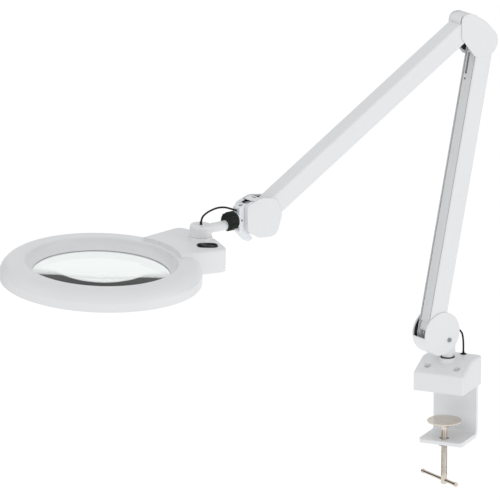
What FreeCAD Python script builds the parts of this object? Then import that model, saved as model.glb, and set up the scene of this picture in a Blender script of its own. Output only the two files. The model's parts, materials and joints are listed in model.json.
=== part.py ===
"""Bench magnifying lamp: table clamp, spring-balanced double arm, tilting head with ring tube and lens.

Millimetres.  The row frame has its origin on the clamp's upper face, on the swivel axis: +Z up, the
clamp's mouth opens to -Y.  The arms are drawn in an arm frame (x towards the head, y to the near side,
z up) and turned about the swivel axis; the head is drawn in a head frame on its own swivel axis.
"""
import FreeCAD
import Part
import math
import os

V = FreeCAD.Vector
X_AXIS = V(1, 0, 0)
Y_AXIS = V(0, 1, 0)
Z_AXIS = V(0, 0, 1)

# ---------------------------------------------------------------- clearances shared by fitting pieces
run_gap = 0.05            # radial clearance of a pin that turns in a bore
slip_gap = 0.1            # clearance of a piece that is put in by hand
shell_gap = 0.3           # gap between covers that pass each other

# ---------------------------------------------------------------- base block and clamp
block_width = 69.0
block_depth = 62.0
block_front = 24.0        # height of the front wall
block_back = 38.0         # height of the flat rear half
block_wall = 3.5
block_round = 3.0
swivel_boss_radius = 11.0
swivel_boss_rise = 1.5
boss_screw_radius = 2.0   # block screws, M4
boss_screw_x = 20.0
boss_screw_y = -17.0
bracket_width = 59.0
bracket_plate = 5.5       # steel strip thickness
bracket_depth = 55.0
mouth_height = 66.0       # table side of the block to the lower jaw
bend_radius = 4.0
rod_radius = 4.0          # M8 screw
rod_y = -8.8
rod_length = 82.0
pad_radius = 22.0
pad_top = -42.0           # where the pad stands at rest
pad_plate = 1.6
jaw_nut_height = 6.0
jaw_nut_radius = 8.0
bar_radius = 2.2
bar_length = 73.0
bar_offset = -9.8         # the bar is slid this far through the screw
bar_angle = -31.3         # direction of the bar in plan
bar_above_end = 5.0
bar_cap_radius = 2.9
bar_cap_length = 2.6

# ---------------------------------------------------------------- arms, in the arm frame
arm_turn = 241.35         # direction of the arm plane, about +Z from +X
arm_length = 380.0        # pivot to pivot, both arms
lower_lean = 11.9         # the lower arm leans back from the vertical
upper_drop = 30.8         # the upper arm drops below the horizontal
shoulder_pivot = V(28.2, 0, 76.0)
drum_centre = V(19.0, 0, 76.0)
drum_radius = 28.0
drum_web_top = -5.0       # angle where the drum's web stops in front, from the horizontal
drum_web_rear = 168.0     # and at the rear
elbow_step = V(25.0, 0, 23.5)
tie_offset = 9.0
lower_mid_lean = -7.5     # lean where the tie rod stands square to its arm
upper_mid_drop = 20.8
bolt_radius = 3.0         # M6 pivots
bolt_head_radius = 5.5
tie_pin_radius = 2.0
lug_half = 6.6            # half thickness of each inner bracket
lug_inner = 4.1
washer_plate = 0.5
channel_wall = 1.5
channel_half = 11.5       # half width of the channel in the arm plane
channel_ridge = 1.0
channel_end = 14.0        # the front wall starts this far past each pivot
cover_plate = 1.5
cover_half = 13.5
shell_room = 12.3         # half width inside the arm's outer shell
shell_corner = 3.0
shell_web_end = 12.0      # the shell's closed side stops this far past each pivot
cover_side_gap = 1.7
shell_plate = 1.3
screw_radius = 1.5        # M3 cover screws
post_radius = 3.4
tie_rod_width = 5.0
tie_rod_plate = 3.0
lug_reach = 5.0           # the spring lug stands this far past the arm's middle
spring_radius = 4.6
spring_wire = 1.4
spring_turns = 26
spring_start = 78.0
spring_length = 165.0
hook_reach = 5.0
spring_level = -2.0       # the spring lies this far off the arm's middle
tongue_plate = 1.5        # half thickness of the lugs the hooks cross
adjuster_radius = 2.5
slot_length = 24.0
slot_width = 4.0
neck_back = -7.0
neck_front = 14.0
neck_half = 8.0
neck_bottom = 45.7
swivel_pin_radius = 6.0
swivel_collar_radius = 7.5

# ---------------------------------------------------------------- wrist and head bracket
nod_pivot_x = 316.0
nod_pivot_z = 276.0
nod_eye_radius = 8.0
tongue_half = 3.8
nose_front = 336.5
nose_back = 328.0
nose_top = 293.0
nose_knee = 263.0
nose_tail = V(322.5, 0, 247.5)
roll_axis_z = 276.5
roll_pin_radius = 4.0
friction_washer_radius = 9.5
friction_washer_plate = 2.0
hub_flange_radius = 10.0
hub_flange_plate = 2.5
hub_radius = 12.5
hub_length = 12.0
hub_lobes = 6
stub_z = 272.6
stub_radius = 6.0
stub_depth = 7.0          # how far the stub sits in the hub
puck_x = 391.2
puck_radius = 13.7
puck_bottom = 265.8
puck_height = 14.0
swivel_tube_radius = 4.9
swivel_tube_bore = 3.2
roll_rest = -3.4          # the head hangs slightly towards the near side

# ---------------------------------------------------------------- head, in the head frame
head_turn = -1.4          # the head's turn on its swivel at rest
head_reach = 148.0        # swivel axis to lens axis
seat_height = 33.0        # swivel seat above the head's lower edge
housing_height = 29.0
ring_radius = 124.0
ring_wall_height = 11.0
ring_crest_radius = 102.0
ring_height = 24.3
rim_radius = 94.0
lens_opening = 84.8
lens_radius = 86.5
lens_edge_low = 5.5
lens_edge = 3.5
lens_sag = 6.0
head_wall = 2.2
housing_rear = -16.0
housing_corner_x = -9.0
housing_corner_y = 52.0
housing_join_y = 40.0
housing_join_x = 62.0
housing_round = 12.0
tube_ring_radius = 107.0
tube_radius = 8.0
tube_height = 11.5
diffuser_low = 0.4
diffuser_plate = 2.0
switch_x = 9.0
switch_y = 27.5
switch_turn = 150.0
rocker_length = 21.0
rocker_width = 12.0
rocker_tilt = 8.0
rocker_pivot_drop = 1.6   # the key turns this far below the housing's top
rocker_pin_radius = 1.0
cover_screw_ring = 118.5

# ---------------------------------------------------------------- cables
cable_radius = 1.2
head_cable_route = [
    V(391.2, 0.5, 277.0), V(391.2, 0.5, 286.0), V(386.5, 0.6, 291.6), V(377.5, 0.5, 295.0),
    V(367.0, 0.3, 297.0), V(356.0, 0.2, 296.2), V(345.6, 0.0, 292.6), V(336.5, 0.0, 288.6)]
base_cable_route = [
    V(-4.0, 0, 74.0), V(-17.0, 0.2, 73.6), V(-23.4, 0.1, 67.6), V(-25.6, -0.4, 59.0),
    V(-26.6, -1.0, 51.0), V(-27.0, -1.5, 44.0), V(-27.0, -1.5, 35.5)]

# ---------------------------------------------------------------- derived places
channel_in = lug_half + washer_plate
channel_out = channel_in + channel_wall
cover_in = channel_out + cover_side_gap
cover_out = cover_in + cover_plate
shell_in = cover_out + shell_gap
shell_out = shell_in + shell_plate


def polar(length, angle):
    """Vector in the XZ plane at an angle from +x towards +z."""
    return V(length * math.cos(math.radians(angle)), 0, length * math.sin(math.radians(angle)))


lower_angle = 90 + lower_lean
elbow_pivot = shoulder_pivot + polar(arm_length, lower_angle)
upper_root = elbow_pivot + elbow_step
wrist_pivot = upper_root + polar(arm_length, -upper_drop)
lower_tie = polar(tie_offset, 180 + lower_mid_lean)
upper_tie = polar(tie_offset, 90 - upper_mid_drop)
nod_pivot = V(nod_pivot_x, 0, nod_pivot_z)
head_low = puck_bottom - seat_height
lens_axis = V(head_reach, 0, 0)


# ---------------------------------------------------------------- drawing helpers
def rod(start, direction, radius, length):
    return Part.makeCylinder(radius, length, start, direction)


def across(centre, radius, y_from, y_to):
    """Cylinder across the arm, along y."""
    return rod(V(centre.x, y_from, centre.z), Y_AXIS, radius, y_to - y_from)


def fuse(shapes):
    return shapes[0].multiFuse(shapes[1:]).removeSplitter() if len(shapes) > 1 else shapes[0]


def rounded_edges(corners):
    """Edges of a closed outline; each corner is (point, fillet radius), radius 0 is sharp."""
    edges = []
    starts = []
    ends = []
    arcs = []
    count = len(corners)
    for i, (point, radius) in enumerate(corners):
        before = (corners[i - 1][0] - point).normalize()
        after = (corners[(i + 1) % count][0] - point).normalize()
        half = before.getAngle(after) / 2
        reach = radius / math.tan(half)
        starts.append(point + before * reach)
        ends.append(point + after * reach)
        middle = (before + after).normalize()
        arcs.append(point + middle * (radius / math.sin(half) - radius))
    for i in range(count):
        if corners[i][1] > 0:
            edges.append(Part.Arc(starts[i], arcs[i], ends[i]).toShape())
        following = (i + 1) % count
        if ends[i].distanceToPoint(starts[following]) > 1e-6:
            edges.append(Part.LineSegment(ends[i], starts[following]).toShape())
    return edges


def slab(corners, direction):
    """Solid of a rounded outline pushed along a direction."""
    return Part.Face(Part.Wire(rounded_edges(corners))).extrude(direction)


def around(points, radius):
    """Edges of the outline that keeps one distance from a convex chain of points in the XZ plane."""
    count = len(points)
    normals = []
    for i, point in enumerate(points):
        along = (points[(i + 1) % count] - point).normalize()
        normals.append(V(along.z, 0, -along.x))
    edges = []
    for i, point in enumerate(points):
        following = points[(i + 1) % count]
        offset = normals[i] * radius
        edges.append(Part.LineSegment(point + offset, following + offset).toShape())
        turn = normals[i] + normals[(i + 1) % count]
        if turn.Length < 1e-6:
            turn = following - point
        peak = following + turn.normalize() * radius
        edges.append(Part.Arc(following + normals[i] * radius, peak,
                              following + normals[(i + 1) % count] * radius).toShape())
    return edges


def link_plate(points, radius, y_from, y_to):
    """Plate across the arm whose outline keeps one distance from a convex chain of pivots."""
    face = Part.Face(Part.Wire(around([V(p.x, y_from, p.z) for p in points], radius)))
    return face.extrude(V(0, y_to - y_from, 0))


def ring_of(profile):
    """Solid of revolution about the lens axis; profile is a list of edges in the XZ plane."""
    return Part.Face(Part.Wire(profile)).revolve(V(0, 0, 0), Z_AXIS, 360)


def polygon(points):
    return [Part.LineSegment(points[i], points[(i + 1) % len(points)]).toShape() for i in range(len(points))]


def mirror_y(shape):
    return shape.mirror(V(0, 0, 0), Y_AXIS)


def hexagon_nut(centre, direction, radius, height):
    """Six-sided nut blank standing on a point along one direction."""
    corners = [V(radius * math.cos(math.radians(60 * i)), radius * math.sin(math.radians(60 * i)), 0)
               for i in range(6)]
    nut = Part.Face(Part.makePolygon(corners + corners[:1])).extrude(V(0, 0, height))
    nut.Placement = FreeCAD.Placement(centre, FreeCAD.Rotation(Z_AXIS, direction))
    return nut


def cord_tube(route, radius, name):
    """Tube along straight runs joined by tangent arcs, each as large as its two runs allow."""
    edges = []
    radii = []
    here = route[0]
    for i in range(1, len(route) - 1):
        back = route[i - 1] - route[i]
        ahead = route[i + 1] - route[i]
        run = min(back.Length, ahead.Length)
        turn = math.pi - back.getAngle(ahead)
        radii.append(0.45 * run / math.tan(turn / 2))
        start = route[i] + back.normalize() * (0.45 * run)
        end = route[i] + ahead.normalize() * (0.45 * run)
        middle = (back + ahead).normalize()
        peak = route[i] + middle * (radii[-1] / math.cos(turn / 2) - radii[-1])
        edges.append(Part.LineSegment(here, start).toShape())
        edges.append(Part.Arc(start, peak, end).toShape())
        here = end
    edges.append(Part.LineSegment(here, route[-1]).toShape())
    path = Part.Wire(edges)
    first = (route[1] - route[0]).normalize()
    section = Part.Wire([Part.makeCircle(radius, route[0], first)])
    tube = path.makePipeShell([section], True, False)
    print("%s: length %.1f, volume / (section x length) %.4f, radii %s" % (
        name, path.Length, tube.Volume / (math.pi * radius ** 2 * path.Length),
        [round(r, 1) for r in radii]))
    return tube


# ---------------------------------------------------------------- frames
def at_arm(shape):
    """From the arm frame to the row frame."""
    placed = shape.copy()
    placed.rotate(V(0, 0, 0), Z_AXIS, arm_turn)
    return placed


def at_roll(shape):
    """Pieces beyond the roll joint hang a little to the near side."""
    placed = shape.copy()
    placed.rotate(V(0, 0, roll_axis_z), X_AXIS, roll_rest)
    return at_arm(placed)


def at_head(shape):
    """From the head frame, whose x runs from the swivel axis to the lens axis and z from its lower edge."""
    placed = shape.copy()
    placed.rotate(V(0, 0, 0), Z_AXIS, head_turn)
    placed.translate(V(puck_x, 0, head_low))
    return at_roll(placed)


def at_lens(shape):
    """From the lens axis to the head frame and on."""
    placed = shape.copy()
    placed.translate(lens_axis)
    return at_head(placed)


# ---------------------------------------------------------------- base block and clamp
def block_solid(inset):
    """Wedge-topped block; inset shrinks it on every side for the hollow."""
    half = block_depth / 2 - inset
    slope = (block_back - block_front) / (block_depth / 2)
    profile = [V(0, -half, 0), V(0, half, 0), V(0, half, block_back - inset), V(0, 0, block_back - inset),
               V(0, -half, block_front - inset + slope * (block_depth / 2 - half))]
    width = block_width - 2 * inset
    solid = Part.Face(Part.makePolygon(profile + profile[:1])).extrude(V(width, 0, 0))
    solid.translate(V(-width / 2, 0, 0))
    return solid


def slope_height(y):
    return block_back + (block_back - block_front) / (block_depth / 2) * min(y, 0)


def make_base_block():
    body = block_solid(0)
    top_edges = [e for e in body.Edges if e.BoundBox.ZMin > 1]
    uprights = [e for e in body.Edges if e.BoundBox.ZLength > 10 and e.BoundBox.YLength < 1]
    body = body.makeFillet(block_round, list({e.hashCode(): e for e in top_edges + uprights}.values()))
    body = body.cut(block_solid(block_wall))
    boss = rod(V(0, 0, 12), Z_AXIS, swivel_boss_radius, block_back + swivel_boss_rise - 12)
    body = body.fuse(boss)
    for side in (-1, 1):
        post = rod(V(side * boss_screw_x, boss_screw_y, bracket_plate), Z_AXIS, 6.5,
                   slope_height(boss_screw_y) - bracket_plate - 1.5)
        body = body.fuse(post.common(block_solid(1.0)))
    rib = block_width - 2 * block_wall + 2
    body = body.fuse(Part.makeBox(rib, 8, 6, V(-rib / 2, 14, bracket_plate)))
    recess = Part.makeBox(bracket_width + 2 * slip_gap, block_depth, bracket_plate,
                          V(-bracket_width / 2 - slip_gap, -block_depth / 2 + 9 - slip_gap, 0))
    body = body.cut(recess)
    body = body.cut(rod(V(0, 0, 0), Z_AXIS, swivel_pin_radius + 2, 60))
    for side in (-1, 1):
        top = slope_height(boss_screw_y)
        start = V(side * boss_screw_x, boss_screw_y, 0)
        body = body.cut(rod(start, Z_AXIS, boss_screw_radius + slip_gap, 60))
        body = body.cut(rod(V(side * boss_screw_x, boss_screw_y, top - 5.5), Z_AXIS, 4.6, 20))
    body = body.cut(rod(grommet_place() - V(0, 0, 8), Z_AXIS, 3.0, 20))
    body = body.cut(rod(V(0, block_depth / 2 - 8, 18), Y_AXIS, 4.0, 20))
    return body.removeSplitter()


def grommet_place():
    """The lower end of the base cable, on the block's flat top."""
    end = base_cable_route[-1]
    turned = FreeCAD.Rotation(Z_AXIS, arm_turn).multVec(V(end.x, end.y, 0))
    return V(turned.x, turned.y, block_back)


def make_grommet(centre, direction, bore):
    """Rubber ring in the edge of a hole, with a groove for the wall."""
    flange = 0.6
    wall = 3.5
    ring = fuse([rod(V(0, 0, 0), Z_AXIS, 4.0, flange), rod(V(0, 0, -wall), Z_AXIS, 3.0, wall)])
    ring = ring.cut(rod(V(0, 0, -10), Z_AXIS, bore, 20))
    ring.Placement = FreeCAD.Placement(centre, FreeCAD.Rotation(Z_AXIS, direction))
    return ring


def make_block_screws():
    screws = []
    for side in (-1, 1):
        top = slope_height(boss_screw_y) - 5.5
        x = side * boss_screw_x
        screw = rod(V(x, boss_screw_y, 0.6), Z_AXIS, boss_screw_radius, top - 0.6)
        head = rod(V(x, boss_screw_y, top), Z_AXIS, 3.8, 2.6)
        cross = Part.makeBox(5.0, 1.0, 2, V(x - 2.5, boss_screw_y - 0.5, top + 1.6))
        cross = cross.fuse(Part.makeBox(1.0, 5.0, 2, V(x - 0.5, boss_screw_y - 2.5, top + 1.6)))
        screws.append(screw.fuse(head).cut(cross))
    return Part.makeCompound(screws)


def make_clamp_bracket():
    half = bracket_width / 2
    back = block_depth / 2
    front = back - bracket_depth
    low = -mouth_height
    upper_front = -block_depth / 2 + 9
    outline = [(V(0, upper_front, 0), 0), (V(0, back - bracket_plate, 0), bend_radius),
               (V(0, back - bracket_plate, low), bend_radius), (V(0, front, low), 1.5),
               (V(0, front, low - bracket_plate), 1.5),
               (V(0, back, low - bracket_plate), bend_radius + 4), (V(0, back, bracket_plate), 1.5),
               (V(0, upper_front, bracket_plate), 0)]
    strip = slab(outline, V(bracket_width, 0, 0))
    strip.translate(V(-half, 0, 0))
    strip = strip.cut(rod(V(0, rod_y, low - 20), Z_AXIS, jaw_nut_radius - 1.5, 30))
    for side in (-1, 1):
        strip = strip.cut(rod(V(side * boss_screw_x, boss_screw_y, -1), Z_AXIS, boss_screw_radius, 10))
    plan = [(V(-half, front, low - 20), 5), (V(half, front, low - 20), 5),
            (V(half, back, low - 20), 0), (V(-half, back, low - 20), 0)]
    return strip.common(slab(plan, V(0, 0, mouth_height + 40)))


def make_jaw_nut():
    """Flanged nut pressed into the lower jaw from above; the screw runs in it."""
    low = -mouth_height - bracket_plate
    nut = fuse([rod(V(0, rod_y, low), Z_AXIS, jaw_nut_radius - 1.5, bracket_plate),
                rod(V(0, rod_y, low - jaw_nut_height + 3), Z_AXIS, jaw_nut_radius, jaw_nut_height - 3)])
    return nut.cut(rod(V(0, rod_y, low - 20), Z_AXIS, rod_radius + run_gap, 40))


def make_clamp_screw():
    top = pad_top - pad_plate - 1.0
    screw = rod(V(0, rod_y, top - rod_length), Z_AXIS, rod_radius, rod_length)
    screw = screw.makeChamfer(0.8, [screw.Edges[0], screw.Edges[2]])
    return screw.cut(bar_hole(bar_radius + run_gap))


def bar_centre():
    return V(0, rod_y, pad_top - pad_plate - 1.0 - rod_length + bar_above_end)


def bar_direction():
    return V(math.cos(math.radians(bar_angle)), math.sin(math.radians(bar_angle)), 0)


def bar_hole(radius):
    return rod(bar_centre() - bar_direction() * 10, bar_direction(), radius, 20)


def make_tommy_bar():
    middle = bar_centre() + bar_direction() * bar_offset
    start = middle - bar_direction() * (bar_length / 2)
    bar = rod(start, bar_direction(), bar_radius, bar_length)
    first = rod(start, bar_direction(), bar_cap_radius, bar_cap_length)
    second = rod(start + bar_direction() * (bar_length - bar_cap_length), bar_direction(),
                 bar_cap_radius, bar_cap_length)
    return fuse([bar, first, second])


def make_clamp_pad():
    """Dished steel pad with a hollow hub that turns on the screw's top end."""
    top = pad_top
    profile = polygon([V(0, 0, top), V(pad_radius, 0, top), V(pad_radius, 0, top - pad_plate),
                       V(7.0, 0, top - 4.6), V(6.0, 0, top - 9.0), V(rod_radius + run_gap, 0, top - 9.0),
                       V(rod_radius + run_gap, 0, top - pad_plate - 1.0), V(0, 0, top - pad_plate - 1.0)])
    pad = ring_of(profile)
    pad.translate(V(0, rod_y, 0))
    return pad


def make_swivel_bush():
    high = block_back + swivel_boss_rise
    bush = fuse([rod(V(0, 0, 12), Z_AXIS, swivel_pin_radius + 2 - slip_gap, high - 12),
                 rod(V(0, 0, high), Z_AXIS, swivel_boss_radius - 2, 1.2)])
    return bush.cut(rod(V(0, 0, 0), Z_AXIS, swivel_pin_radius + run_gap, 60))


def make_swivel_pin():
    """Steel pin with a collar under the shoulder; it turns in the bush and ends in a groove."""
    low = block_back + swivel_boss_rise + 1.2 + 0.1
    pin = fuse([rod(V(0, 0, 7.5), Z_AXIS, swivel_pin_radius, neck_bottom + 6 - 7.5),
                rod(V(0, 0, low), Z_AXIS, swivel_collar_radius, neck_bottom - low)])
    groove = rod(V(0, 0, 9.2), Z_AXIS, 10, 1.2).cut(rod(V(0, 0, 9), Z_AXIS, swivel_pin_radius - 1, 2))
    return pin.cut(groove)


def make_swivel_clip():
    ring = rod(V(0, 0, 9.3), Z_AXIS, swivel_pin_radius + 2.4, 1.0)
    ring = ring.cut(rod(V(0, 0, 9), Z_AXIS, swivel_pin_radius - 1 + run_gap, 2))
    ring = ring.cut(Part.makeBox(12, 4, 3, V(0, -2, 8.6)))
    washer = rod(V(0, 0, 10.4), Z_AXIS, swivel_pin_radius + 4, 1.5)
    washer = washer.cut(rod(V(0, 0, 10), Z_AXIS, swivel_pin_radius + slip_gap, 3))
    return Part.makeCompound([ring, washer])


def make_inlet_gland():
    """Mains inlet gland in the block's rear wall."""
    y = block_depth / 2
    body = fuse([rod(V(0, y - block_wall, 18), Y_AXIS, 4.0, block_wall), rod(V(0, y, 18), Y_AXIS, 6.0, 1.6)])
    return body.cut(rod(V(0, y - 10, 18), Y_AXIS, 2.6, 20))


# ---------------------------------------------------------------- one arm, built for both
def place_arm(shape, root, angle):
    """From the straight arm (x along it) to its place; angle is its rise from +x."""
    placed = shape.copy()
    placed.rotate(V(0, 0, 0), Y_AXIS, -angle)
    placed.translate(root)
    return at_arm(placed)


def make_channel():
    """Folded U channel, closed on the side the light strip shows."""
    ends = [V(0, 0, 0), V(arm_length, 0, 0)]
    near = link_plate(ends, channel_half, channel_in, channel_out)
    body = [near, mirror_y(near)]
    run = arm_length - 2 * channel_end
    body.append(Part.makeBox(run, 2 * channel_out, channel_wall,
                             V(channel_end, -channel_out, -channel_half)))
    ridge_low = -channel_half - channel_ridge
    body.append(Part.makeBox(run - 8, channel_out - 1.0, channel_ridge, V(channel_end + 4, 1.0, ridge_low)))
    channel = fuse(body)
    for end in ends:
        channel = channel.cut(across(end, bolt_radius + run_gap, -20, 20))
    slot_start = arm_length - channel_end - 30
    slot = link_plate([V(0, 0, 0), V(slot_length, 0, 0)], slot_width / 2, -20, 20)
    slot.rotate(V(0, 0, 0), X_AXIS, 90)
    slot.translate(V(slot_start, -channel_out / 2 - 0.4, 0))
    keep = Part.makeBox(200, 60, channel_half, V(arm_length - 150, -30, -channel_half))
    channel = channel.cut(slot.common(keep))
    hole = rod(V(slot_start - 8, -channel_out / 2 - 0.4, 0), V(0, 0, -1), 1.7, 20)
    return channel.cut(hole)


def make_arm_shell():
    """Outer U shell, closed on the side away from the channel's closed side, on round feet."""
    ends = [V(0, 0, 0), V(arm_length, 0, 0)]
    half = link_plate(ends, cover_half, -cover_out, cover_out)
    room_end = V(arm_length * 2, 0, 0)
    inner = link_plate([V(-arm_length, 0, 0), room_end], shell_room, -cover_in, cover_in)
    outer_edges = [e for e in half.Edges if e.BoundBox.XLength > arm_length - 1
                   and e.BoundBox.ZMin > cover_half - 0.01]
    body = half.makeFillet(shell_corner, outer_edges).cut(inner)
    body = body.cut(Part.makeBox(arm_length * 2, 2 * cover_in, 40, V(-arm_length / 2, -cover_in, -40)))
    for start in (-60, arm_length - shell_web_end):
        body = body.cut(Part.makeBox(60 + shell_web_end, 2 * cover_in, 80, V(start, -cover_in, -40)))
    feet = []
    for share in (0.12, 0.5, 0.88):
        foot = across(V(arm_length * share, 0, 0), 4.0, channel_out, cover_in)
        feet += [foot, mirror_y(foot)]
    shell = fuse([body] + feet)
    for end in ends:
        shell = shell.cut(across(end, bolt_head_radius + 1.2, -20, 20))
    return shell


def make_pivot_bolt():
    """Pivot bolt with its nut, clamping the two channel walls on the inner bracket."""
    shank = across(V(0, 0, 0), bolt_radius, -channel_out - 3.0, channel_out)
    head = across(V(0, 0, 0), bolt_head_radius, channel_out, cover_out - 0.1)
    socket = hexagon_nut(V(0, cover_out - 2.1, 0), Y_AXIS, 2.3, 3)
    bolt = shank.fuse(head).cut(socket)
    nut = hexagon_nut(V(0, -channel_out - 3.0, 0), Y_AXIS, bolt_head_radius, 3.0)
    nut = nut.cut(across(V(0, 0, 0), bolt_radius, -20, 0))
    return Part.makeCompound([bolt, nut])


def make_washers():
    washer = across(V(0, 0, 0), 7.0, lug_half, channel_in).cut(across(V(0, 0, 0), bolt_radius + 0.1, 0, 20))
    return [washer, mirror_y(washer)]


def make_tie_rod(tie, level):
    """Flat rod beside the arm; its far eye is opened out round the pin."""
    ends = [tie, tie + V(arm_length, 0, 0)]
    half = tie_rod_plate / 2
    body = [link_plate(ends, tie_rod_width / 2, -half, half)]
    body += [across(end, 4.2, -half, half) for end in ends]
    hook_x = hook_places()[0]
    lug_low = tie.z if tie.z < 0 else -lug_reach
    body.append(Part.makeBox(7, 2 * half, abs(tie.z) + lug_reach, V(hook_x - 3.5, -half, lug_low)))
    bar = fuse(body)
    bar = bar.cut(across(V(hook_x, 0, level), spring_wire / 2 + 0.1, -20, 20))
    bar = bar.cut(across(ends[0], tie_pin_radius + run_gap, -20, 20))
    return bar.cut(across(ends[1], tie_pin_radius + 0.4, -20, 20))


def hook_places():
    """Where the spring's two hooks cross the arm."""
    return spring_start - hook_reach, spring_start + spring_length + hook_reach


def make_spring(level):
    """Tension spring along the arm; each end runs on beside its lug and crosses it as a hook."""
    helix = Part.makeHelix(spring_length / spring_turns, spring_length, spring_radius)
    section = Part.Wire([Part.makeCircle(spring_wire / 2, V(spring_radius, 0, 0), Y_AXIS)])
    coil = Part.Wire(helix.Edges).makePipeShell([section], True, True)
    coil.rotate(V(0, 0, 0), Z_AXIS, 90)
    wire = spring_wire / 2 + 0.05
    corner = V(0, spring_radius, -hook_reach)
    hook = fuse([rod(V(0, spring_radius, 0.2), V(0, 0, -1), wire, hook_reach + 0.2),
                 Part.makeSphere(wire, corner), rod(corner, V(0, -1, 0), wire, spring_radius + 3)])
    far = hook.mirror(V(0, 0, spring_length / 2), Z_AXIS)
    spring = coil.fuse(hook).fuse(far)
    spring.Placement = FreeCAD.Placement(V(spring_start, 0, level), FreeCAD.Rotation(Z_AXIS, X_AXIS))
    return spring


def make_adjuster(level):
    """Tongued nut that holds the spring's far hook, its long screw, and the bar the screw pulls on."""
    hook_x = hook_places()[1]
    hook_hole = across(V(hook_x, 0, level), spring_wire / 2 + 0.1, -20, 20)
    tongue = Part.makeBox(9, 2 * tongue_plate, 6, V(hook_x - 3, -tongue_plate, level - 3)).cut(hook_hole)
    nut = Part.makeBox(8, 2 * channel_in - 0.2, 11, V(hook_x + 5, -channel_in + 0.1, -8.0))
    stop = arm_length - channel_end - 38
    bar_low = channel_wall - channel_half
    bar = Part.makeBox(5, 2 * channel_in, 3 - bar_low, V(stop, -channel_in, bar_low))
    screw = rod(V(hook_x + 5, 0, level), X_AXIS, adjuster_radius, stop - hook_x)
    head = hexagon_nut(V(stop + 5, 0, level), X_AXIS, 4.6, 4)
    screw = screw.fuse(head)
    return Part.makeCompound([nut.fuse(tongue).cut(screw), bar.cut(screw), screw])


# ---------------------------------------------------------------- shoulder
def make_shoulder_bracket():
    """Cast foot with two lugs for the arm's pivot and its tie pin, and a post for each drum cover."""
    tie = shoulder_pivot + lower_tie
    foot = Part.makeBox(neck_front - neck_back, 2 * neck_half, 17, V(neck_back, -neck_half, neck_bottom))
    foot = foot.makeFillet(1.5, [e for e in foot.Edges if e.BoundBox.ZLength > 10])
    chain = [V(4, 0, 60), V(17, 0, 58), shoulder_pivot, tie]
    near = link_plate(chain, 7.0, lug_inner, lug_half)
    web = Part.makeBox(20, 2 * lug_half, 8, V(-2, -lug_half, 53))
    post = across(drum_screw(), post_radius, -shell_in, shell_in)
    body = fuse([foot, near, mirror_y(near), web, post])
    body = body.cut(across(shoulder_pivot, bolt_radius + run_gap, -20, 20))
    body = body.cut(across(tie, tie_pin_radius, -20, 20))
    body = body.cut(rod(V(0, 0, 40), Z_AXIS, swivel_pin_radius, 11.7))
    return body.cut(across(drum_screw(), screw_radius, -20, 20))


def drum_screw():
    return V(8.0, 0, 66.2)


def make_drum_cover():
    """Near half of the shoulder drum: a disc with half of the curved web under the arm."""
    disc = across(drum_centre, drum_radius, shell_in, shell_out)
    disc = disc.makeFillet(0.8, [e for e in disc.Edges if e.BoundBox.YMin > shell_out - 0.01
                                 and e.BoundBox.YLength < 0.01])
    web = across(drum_centre, drum_radius, 0, shell_in).cut(across(drum_centre, drum_radius - 1.8, -1, 20))
    start = polar(60, drum_web_top)
    sector = [V(0, 0, 0), start, V(60, 0, -60), V(-60, 0, -60), polar(60, drum_web_rear)]
    wedge = Part.Face(Part.makePolygon(sector + sector[:1])).extrude(V(0, 40, 0))
    wedge.translate(drum_centre - V(0, 10, 0))
    web = web.common(wedge)
    foot_room = Part.makeBox(neck_front - neck_back + 2 * slip_gap, 2 * (neck_half + slip_gap), 30,
                             V(neck_back - slip_gap, -neck_half - slip_gap, 40))
    cover = disc.fuse(web.cut(foot_room))
    cover = cover.cut(rod(base_cable_route[0] - V(10, 0, 0), X_AXIS, cable_radius + 0.5, 10))
    return cover.cut(across(drum_screw(), screw_radius + slip_gap, 0, 40)).removeSplitter()


def make_fasteners(screw_places, sides, pins):
    """Pan-head cover screws from one or both sides, and the riveted pins (place, radius) of one bracket."""
    pieces = []
    for place in screw_places:
        head = across(place, 2.9, shell_out, shell_out + 1.1)
        screw = fuse([across(place, screw_radius, 2.0, shell_out), head])
        slot = Part.makeBox(4.4, 1, 0.8, V(place.x - 2.2, shell_out + 0.5, place.z - 0.4))
        screw = screw.cut(slot)
        pieces += [screw, mirror_y(screw)][2 - sides:]
    pieces += [across(place, radius, -lug_half, lug_half) for place, radius in pins]
    return Part.makeCompound(pieces)


# ---------------------------------------------------------------- elbow
def elbow_posts():
    return [elbow_pivot + V(5.5, 0, 17.0), elbow_pivot + V(12.5, 0, 11.8)]


def make_elbow_knuckle():
    """Two side plates joined by posts; it carries both arms and keeps level."""
    low_tie = elbow_pivot + lower_tie
    high_tie = upper_root + upper_tie
    chain = [elbow_pivot, upper_root, high_tie, elbow_posts()[0], low_tie]
    near = link_plate(chain, 5.4, lug_inner, lug_half)
    post = across(elbow_posts()[0], post_radius, -shell_in, shell_in)
    rib = across(elbow_posts()[1], 2.2, -shell_in, shell_in)
    body = fuse([near, mirror_y(near), post, rib])
    for pivot in (elbow_pivot, upper_root):
        body = body.cut(across(pivot, bolt_radius + run_gap, -20, 20))
    for pin in (low_tie, high_tie):
        body = body.cut(across(pin, tie_pin_radius, -20, 20))
    return body.cut(across(elbow_posts()[0], screw_radius, -20, 20))


def elbow_outline():
    p = elbow_pivot
    return [(p + V(41.5, 0, 38.5), 8), (p + V(41.0, 0, 9.0), 8), (p + V(18.5, 0, -18.2), 8),
            (p + V(-9.5, 0, -18.6), 14), (p + V(-21.5, 0, 1.5), 17), (p + V(2.0, 0, 26.5), 40),
            (p + V(25.0, 0, 40.0), 14)]


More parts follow.
